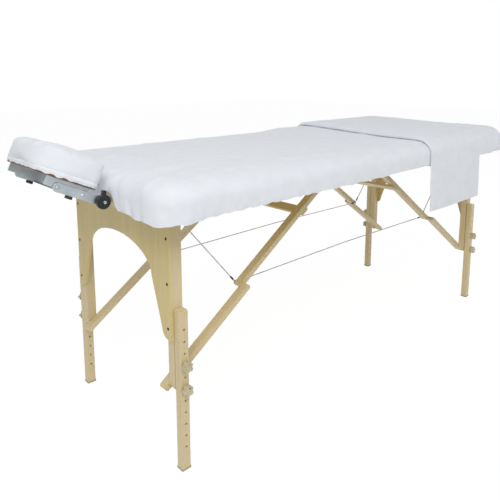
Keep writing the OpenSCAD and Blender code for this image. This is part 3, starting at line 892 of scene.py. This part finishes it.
def make_top_sheet():
    """Each row has a share, a turn, how far it is lifted onto the sheet below and a shift in x."""
    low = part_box("top_sheet")[0]
    near_x = low.x - HINGE_X
    far_x = near_x + FRONT_SKEW
    deck = Deck(HALF_L + TOP_OUT, PAD_Y + TOP_OUT, lambda v: near_x + FRONT_SKEW * (v + 1) / 2)
    ridges = crease_field(TOP_SEED, TOP_CREASES, (0.3, 0.88), CREASE_Y, TOP_CREASE_HEIGHTS)
    wave = wander(TOP_SEED + 1, 14)
    hem_wave = wander(TOP_SEED + 2, 40)
    ruffle = wander(TOP_SEED + 3, 110)

    rows = [(0.0, 0.0, 0.0, FOLD_TUCK * k / TUCK_ROWS) for k in range(TUCK_ROWS, 0, -1)]
    for k in range(FOLD_ROWS):
        a = math.pi * k / (FOLD_ROWS - 1)
        rows.append((0.0, 0.0, (1 - math.cos(a)) / 2, TOP_LIFT / 2 * (1 - math.sin(a))))
    rows += [(share, turn, 1.0, 0.0) for share, turn in deck.rows[1:]]

    def height(row, x, y):
        lift = row[2] * (TOP_LIFT + crease_height(ridges, x, y))
        return SHEET_TOP + TOP_GAP + rise("foot", x, y) + lift

    grid = deck.add_grid(deck.top, rows, height)
    for row, line in zip(rows, grid):
        for k in line:
            x, y, z = deck.points[k]
            deck.points[k] = (x + row[3], y, z)
    columns, hanging = [], []
    s = 0.0
    last = None
    for index, row, side, out, normal in deck.border(grid, rows):
        lift = row[2] if side else 1.0
        out = (out[0] + (row[3] if side else 0.0), out[1])
        s += 0.0 if last is None else math.hypot(out[0] - last[0], out[1] - last[1])
        last = out
        first = near_x if side < 0 else far_x
        flap = side != 0 and row[1] == 0.0 and out[0] <= first + FLAP_L
        side_lift = SIDE_LIFT * lift
        outside = (out[0] + normal[0] * side_lift, out[1] + normal[1] * side_lift)
        down = EDGE_DOWN + TOP_LIFT * lift + rise("foot", *out)
        column = deck.roll(index, outside, ARC_ROWS, down)
        top = deck.points[index][2] - down
        for k in range(1, SKIRT_ROWS + 1):
            t = k / SKIRT_ROWS
            swell = 0.9 * MM * t * (1 + wave(s))
            if not flap:
                swell = 1.6 * MM * t * (1 + ruffle(s)) - 1.2 * MM * smooth(0.55, 1.0, t)
            bottom = TUCK_LOW + (0.0 if flap else TUCK_WAVE * hem_wave(s))
            column.append(deck.add(
                outside[0] + normal[0] * swell, outside[1] + normal[1] * swell,
                top + (bottom - top) * t,
            ))
        columns.append(column)
        tail = [column[-1]]
        for k in range(1, FLAP_ROWS + 1 if flap else 1):
            t = k / FLAP_ROWS
            swell = (0.9 + 2.6 * t) * MM * (1 + wave(s))
            bottom = low.z + 2.5 * MM * (1 + hem_wave(0.4 * s))
            tail.append(deck.add(
                outside[0] + FLAP_SWING * t, outside[1] + normal[1] * swell,
                TUCK_LOW + (bottom - TUCK_LOW) * t,
            ))
        hanging.append(tail)
    deck.stitch(columns)
    for one, two in zip(hanging, hanging[1:]):
        if len(one) == len(two):
            deck.join(two, one)
    sheet = deck.build("top_bed_sheet", 1, "linen")
    thicken(sheet, CLOTH_T)
    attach(sheet, "foot_half")
    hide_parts("top_sheet")


# Cradle cushion in its cover
VOXEL = 6 * MM
SWELL_CAP = 11 * MM
CUSHION_START = 18 * MM
CUSHION_END = 180 * MM
CUSHION_HALF_W = 140 * MM
CUSHION_LOW = 28.5 * MM
FACE_HALF_W = 46 * MM
INNER_CORNER_R = 35 * MM
OUTER_CORNER_R = 80 * MM
HEM_STEP = 3 * MM
HEM_ROWS = 7
HEM_UP = 9 * MM
HEM_DOWN = 5 * MM
HEM_SAG = 0.45
RELAX_ROUNDS = 8
PRESSURE = 4
PRESSURE_FRAMES = 20


def make_cradle_cushion():
    mesh = NODES["cradle_cushion"].data.copy()
    mesh.materials.clear()
    piece = add_object("face_cushion", mesh, ["linen"])
    weld = piece.modifiers.new("weld", "WELD")
    weld.merge_threshold = WELD_REACH
    remesh = piece.modifiers.new("remesh", "REMESH")
    remesh.mode = "VOXEL"
    remesh.voxel_size = VOXEL
    relax = piece.modifiers.new("relax", "SMOOTH")
    relax.factor = 0.5
    relax.iterations = RELAX_ROUNDS
    apply_modifiers(piece)
    inflate(piece)
    divide = piece.modifiers.new("divide", "SUBSURF")
    divide.levels = divide.render_levels = 1
    apply_modifiers(piece)
    piece.data.shade_smooth()
    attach(piece, "cradle_platform")
    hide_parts("cradle_cushion", "cradle_cover")


def arc(centre, r, start, end):
    """Points along an arc about HEM_STEP apart, with their outward normals."""
    count = max(2, int(r * abs(end - start) / HEM_STEP))
    points = []
    for i in range(count + 1):
        a = start + (end - start) * i / count
        way = (math.cos(a), math.sin(a))
        points.append(((centre[0] + r * way[0], centre[1] + r * way[1]), way))
    return points


def straight(start, end, normal):
    """Points between two ends about HEM_STEP apart, with their outward normal."""
    count = max(1, int(math.dist(start, end) / HEM_STEP))
    points = []
    for i in range(1, count):
        t = i / count
        place = (start[0] + (end[0] - start[0]) * t, start[1] + (end[1] - start[1]) * t)
        points.append((place, normal))
    return points


def horseshoe_rim():
    """Outside of the cushion in the cradle's plane, from one arm's end round to the other's."""
    inner = CUSHION_START + INNER_CORNER_R
    outer = CUSHION_END - OUTER_CORNER_R
    side_in = CUSHION_HALF_W - INNER_CORNER_R
    side_out = CUSHION_HALF_W - OUTER_CORNER_R
    near = -CUSHION_HALF_W
    rim = straight((CUSHION_START, -FACE_HALF_W), (CUSHION_START, -side_in), (-1, 0))
    rim += arc((inner, -side_in), INNER_CORNER_R, math.pi, 3 * QUARTER)
    rim += straight((inner, near), (outer, near), (0, -1))
    rim += arc((outer, -side_out), OUTER_CORNER_R, -QUARTER, 0)
    rim += straight((CUSHION_END, -side_out), (CUSHION_END, side_out), (1, 0))
    rim += arc((outer, side_out), OUTER_CORNER_R, 0, QUARTER)
    rim += straight((outer, -near), (inner, -near), (0, 1))
    rim += arc((inner, side_in), INNER_CORNER_R, QUARTER, math.pi)
    rim += straight((CUSHION_START, side_in), (CUSHION_START, FACE_HALF_W), (-1, 0))
    return rim


def make_cover_hem():
    """Gathered edge of the cushion's cover, drawn in round the board."""
    along = ARM.normalized()
    up = Vector((along.z, 0, -along.x))
    gather = wander(91, 420)
    drop = wander(92, 130)
    rim = horseshoe_rim()
    points, faces = [], []
    s = 0.0
    last = rim[0][0]
    for (u, v), (nu, nv) in rim:
        s += math.dist((u, v), last)
        last = (u, v)
        for k in range(HEM_ROWS):
            t = k / (HEM_ROWS - 1)
            low = HEM_DOWN * (1 + HEM_SAG * drop(s))
            w = CUSHION_LOW + HEM_UP - (HEM_UP + low) * t
            profile = 5 * smooth(0.0, 0.5, t) - 2.5 * smooth(0.5, 1.0, t) - 8
            reach = (1.8 * t * gather(s) + profile) * MM
            place = CRADLE_AXIS + along * (u + nu * reach) + up * w
            points.append((place.x, v + nv * reach, place.z))
    for i in range(len(rim) - 1):
        for k in range(HEM_ROWS - 1):
            a = i * HEM_ROWS + k
            b = a + HEM_ROWS
            faces.append((a, a + 1, b + 1, b))
    hem = mesh_object("face_cover_hem", points, faces, "linen")
    thicken(hem, CLOTH_T)
    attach(hem, "cradle_platform")


def inflate(piece):
    """Swells a pad by cloth under pressure, each point held within the cap."""
    before = [v.co.copy() for v in piece.data.vertices]
    cloth_sim = piece.modifiers.new("cloth", "CLOTH")
    settings = cloth_sim.settings
    settings.use_pressure = True
    settings.uniform_pressure_force = PRESSURE
    settings.effector_weights.gravity = 0
    scene = bpy.context.scene
    for step in range(1, PRESSURE_FRAMES + 1):
        scene.frame_set(step)
    apply_modifiers(piece)
    scene.frame_set(1)
    for vertex, start in zip(piece.data.vertices, before):
        move = vertex.co - start
        if move.length > SWELL_CAP:
            vertex.co = start + move * (SWELL_CAP / move.length)


# Floor, world and lights
FLOOR_SIZE = 14
FLOOR_Z = -0.2 * MM
FLOOR_GLOW = 1.05
FLOOR_SHARE = 0.9
SKY_COLOR = (0.93, 0.96, 1.0, 1)
SKY_STRENGTH = 0.42
LIGHT_AIM = Vector((0, 0, 0.55))
LIGHTS = (
    ("key", (-2.2, -2.2, 3.2), 2.2, 72),
    ("fill", (2.8, -2.4, 2.2), 2.4, 16),
    ("back", (0.4, 3.4, 2.8), 2.6, 24),
)


def make_floor():
    bm = bmesh.new()
    bmesh.ops.create_grid(bm, x_segments=2, y_segments=2, size=FLOOR_SIZE)
    mesh = bpy.data.meshes.new("floor")
    bm.to_mesh(mesh)
    bm.free()
    floor = bpy.data.objects.new("floor", mesh)
    floor.location.z = FLOOR_Z
    bpy.context.scene.collection.objects.link(floor)
    shader = Shader("floor", (0.9, 0.9, 0.9, 1), 0.9)
    glow = shader.node("Emission", {"Color": (1, 1, 1, 1), "Strength": FLOOR_GLOW})
    path = shader.node("LightPath")
    seen = shader.math("MAXIMUM", path.outputs["Is Camera Ray"], path.outputs["Is Glossy Ray"])
    seen = shader.math("MAXIMUM", seen, path.outputs["Is Transmission Ray"])
    share = shader.math("MULTIPLY", seen, FLOOR_SHARE)
    both = shader.node("MixShader", {0: share, 1: shader.bsdf.outputs[0], 2: glow.outputs[0]})
    shader.put(shader.tree.nodes["Material Output"].inputs["Surface"], both.outputs[0])
    mesh.materials.append(shader.material)


def make_world():
    """Soft fill from the sky, which the camera and reflections see as plain white."""
    world = bpy.data.worlds.new("studio")
    bpy.context.scene.world = world
    world.use_nodes = True
    tree = world.node_tree
    fill = tree.nodes["Background"]
    fill.inputs["Color"].default_value = SKY_COLOR
    fill.inputs["Strength"].default_value = SKY_STRENGTH
    white = tree.nodes.new("ShaderNodeBackground")
    white.inputs["Color"].default_value = (1, 1, 1, 1)
    path = tree.nodes.new("ShaderNodeLightPath")
    either = tree.nodes.new("ShaderNodeMath")
    either.operation = "MAXIMUM"
    both = tree.nodes.new("ShaderNodeMixShader")
    tree.links.new(path.outputs["Is Camera Ray"], either.inputs[0])
    tree.links.new(path.outputs["Is Glossy Ray"], either.inputs[1])
    tree.links.new(either.outputs[0], both.inputs[0])
    tree.links.new(fill.outputs[0], both.inputs[1])
    tree.links.new(white.outputs[0], both.inputs[2])
    tree.links.new(both.outputs[0], tree.nodes["World Output"].inputs["Surface"])
    bpy.context.scene.view_settings.view_transform = "Standard"


def add_light(name, place, size, watts):
    data = bpy.data.lights.new(name, "AREA")
    data.shape = "DISK"
    data.size = size
    data.energy = watts
    light = bpy.data.objects.new(name, data)
    light.location = place
    aim = LIGHT_AIM - Vector(place)
    light.rotation_euler = aim.to_track_quat("-Z", "Y").to_euler()
    bpy.context.scene.collection.objects.link(light)


make_camera()
finish_nodes()
for half_name in HALVES:
    make_cables(half_name)
    for side_name in SIDES:
        make_extension(half_name, side_name)
make_bolt_heads()
for half_name, sheet_seed in (("head", 11), ("foot", 21)):
    make_pad(half_name)
    make_fitted_sheet(half_name, sheet_seed)
make_top_sheet()
make_cradle_cushion()
make_cover_hem()
make_floor()
make_world()
for light_name, light_place, light_size, light_watts in LIGHTS:
    add_light(light_name, light_place, light_size, light_watts)
